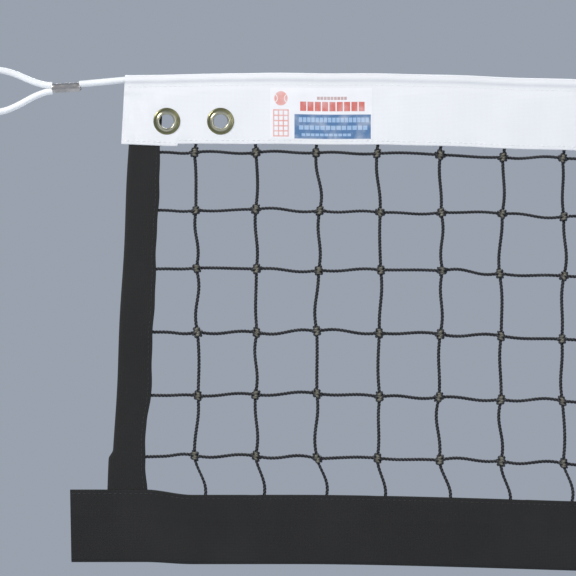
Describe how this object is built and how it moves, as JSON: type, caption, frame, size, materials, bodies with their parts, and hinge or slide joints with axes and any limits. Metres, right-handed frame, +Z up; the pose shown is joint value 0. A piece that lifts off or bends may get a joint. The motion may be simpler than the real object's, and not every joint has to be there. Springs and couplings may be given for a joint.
{
  "type": "tennis net",
  "caption": "Short tennis net panel: knotted twine mesh with a headband, side and bottom tapes, brass grommets and a vinyl-coated cable that ends in pressed eyes.",
  "frame": {"origin": "centre of the left outer grommet's bore, midway between the headband's faces", "axes": "+X along the net to the right as seen from its front, +Z up, -Y out of the labelled front face"},
  "size_m": [1.1542, 0.0081, 0.3639],
  "materials": {
    "headband_cloth": "white coated cloth, fine weave",
    "bottom_tape_cloth": "black woven tape",
    "side_tape_webbing": "black woven webbing",
    "white_thread": "white sewing thread",
    "black_thread": "black sewing thread",
    "label_print": null,
    "grommet_brass": "plated brass, lightly worn",
    "steel_strand": "galvanised strand",
    "white_vinyl": "white vinyl jacket",
    "ferrule_metal": "dark pressed metal sleeve",
    "net_twine": "black twisted twine"
  },
  "bodies": {
    "headband": {"headband": "headband_cloth", "headband_stitching": "white_thread", "label": "label_print", "grommets": "grommet_brass", "grommet_washers": "grommet_brass", "top_cross_twine": "net_twine", "top_twine_tails": "net_twine", "left_side_tape_top": "side_tape_webbing", "right_side_tape_top": "side_tape_webbing"},
    "cable": {"cable_core": "steel_strand", "cable_jacket": "white_vinyl"},
    "left_eye": {"left_eye_core": "steel_strand", "left_eye_jacket": "white_vinyl", "left_ferrule": "ferrule_metal"},
    "right_eye": {"right_eye_core": "steel_strand", "right_eye_jacket": "white_vinyl", "right_ferrule": "ferrule_metal"},
    "row_1": {"cross_twine_1": "net_twine", "knots_1": "net_twine", "hanging_twines_1": "net_twine", "left_side_tape_1": "side_tape_webbing", "right_side_tape_1": "side_tape_webbing"},
    "row_2": {"cross_twine_2": "net_twine", "knots_2": "net_twine", "hanging_twines_2": "net_twine", "left_side_tape_2": "side_tape_webbing", "right_side_tape_2": "side_tape_webbing"},
    "row_3": {"cross_twine_3": "net_twine", "knots_3": "net_twine", "hanging_twines_3": "net_twine", "left_side_tape_3": "side_tape_webbing", "right_side_tape_3": "side_tape_webbing"},
    "row_4": {"cross_twine_4": "net_twine", "knots_4": "net_twine", "hanging_twines_4": "net_twine", "left_side_tape_4": "side_tape_webbing", "right_side_tape_4": "side_tape_webbing"},
    "row_5": {"cross_twine_5": "net_twine", "knots_5": "net_twine", "hanging_twines_5": "net_twine", "left_side_tape_5": "side_tape_webbing", "right_side_tape_5": "side_tape_webbing"},
    "row_6": {"cross_twine_6": "net_twine", "knots_6": "net_twine", "hanging_twines_6": "net_twine", "left_side_tape_6": "side_tape_webbing", "right_side_tape_6": "side_tape_webbing"},
    "bottom_hem": {"bottom_tape": "bottom_tape_cloth", "bottom_tape_stitching": "black_thread", "hem_cross_twine": "net_twine", "hem_twines": "net_twine", "left_side_tape_tail": "side_tape_webbing", "right_side_tape_tail": "side_tape_webbing"}
  },
  "joints": [
    {"name": "cable_slide", "type": "slide", "parent": "headband", "child": "cable", "axis": [1, 0, 0], "range_m": [-0.008, 0.008]},
    {"name": "left_eye_turn", "type": "hinge", "parent": "cable", "child": "left_eye", "pos_m": [-0.032, 0, 0.0303], "axis": [0.9957, 0, 0.0924], "continuous": true},
    {"name": "right_eye_turn", "type": "hinge", "parent": "cable", "child": "right_eye", "pos_m": [0.884, 0, 0.0303], "axis": [0.9957, 0, -0.0924], "continuous": true},
    {"name": "row_1_fold", "type": "hinge", "parent": "headband", "child": "row_1", "pos_m": [0.426, 0, -0.0227], "axis": [1, 0, 0], "range_deg": [-45, 45]},
    {"name": "row_2_fold", "type": "hinge", "parent": "row_1", "child": "row_2", "pos_m": [0.426, 0, -0.0677], "axis": [1, 0, 0], "range_deg": [-45, 45]},
    {"name": "row_3_fold", "type": "hinge", "parent": "row_2", "child": "row_3", "pos_m": [0.426, 0, -0.1127], "axis": [1, 0, 0], "range_deg": [-45, 45]},
    {"name": "row_4_fold", "type": "hinge", "parent": "row_3", "child": "row_4", "pos_m": [0.426, 0, -0.1577], "axis": [1, 0, 0], "range_deg": [-45, 45]},
    {"name": "row_5_fold", "type": "hinge", "parent": "row_4", "child": "row_5", "pos_m": [0.426, 0, -0.2027], "axis": [1, 0, 0], "range_deg": [-45, 45]},
    {"name": "row_6_fold", "type": "hinge", "parent": "row_5", "child": "row_6", "pos_m": [0.426, 0, -0.2477], "axis": [1, 0, 0], "range_deg": [-45, 45]},
    {"name": "bottom_hem_fold", "type": "hinge", "parent": "row_6", "child": "bottom_hem", "pos_m": [0.426, 0, -0.2725], "axis": [1, 0, 0], "range_deg": [-45, 45]}
  ],
  "couplings": [
    {"joint": "right_eye_turn", "follows": "left_eye_turn", "ratio": 1}
  ]
}
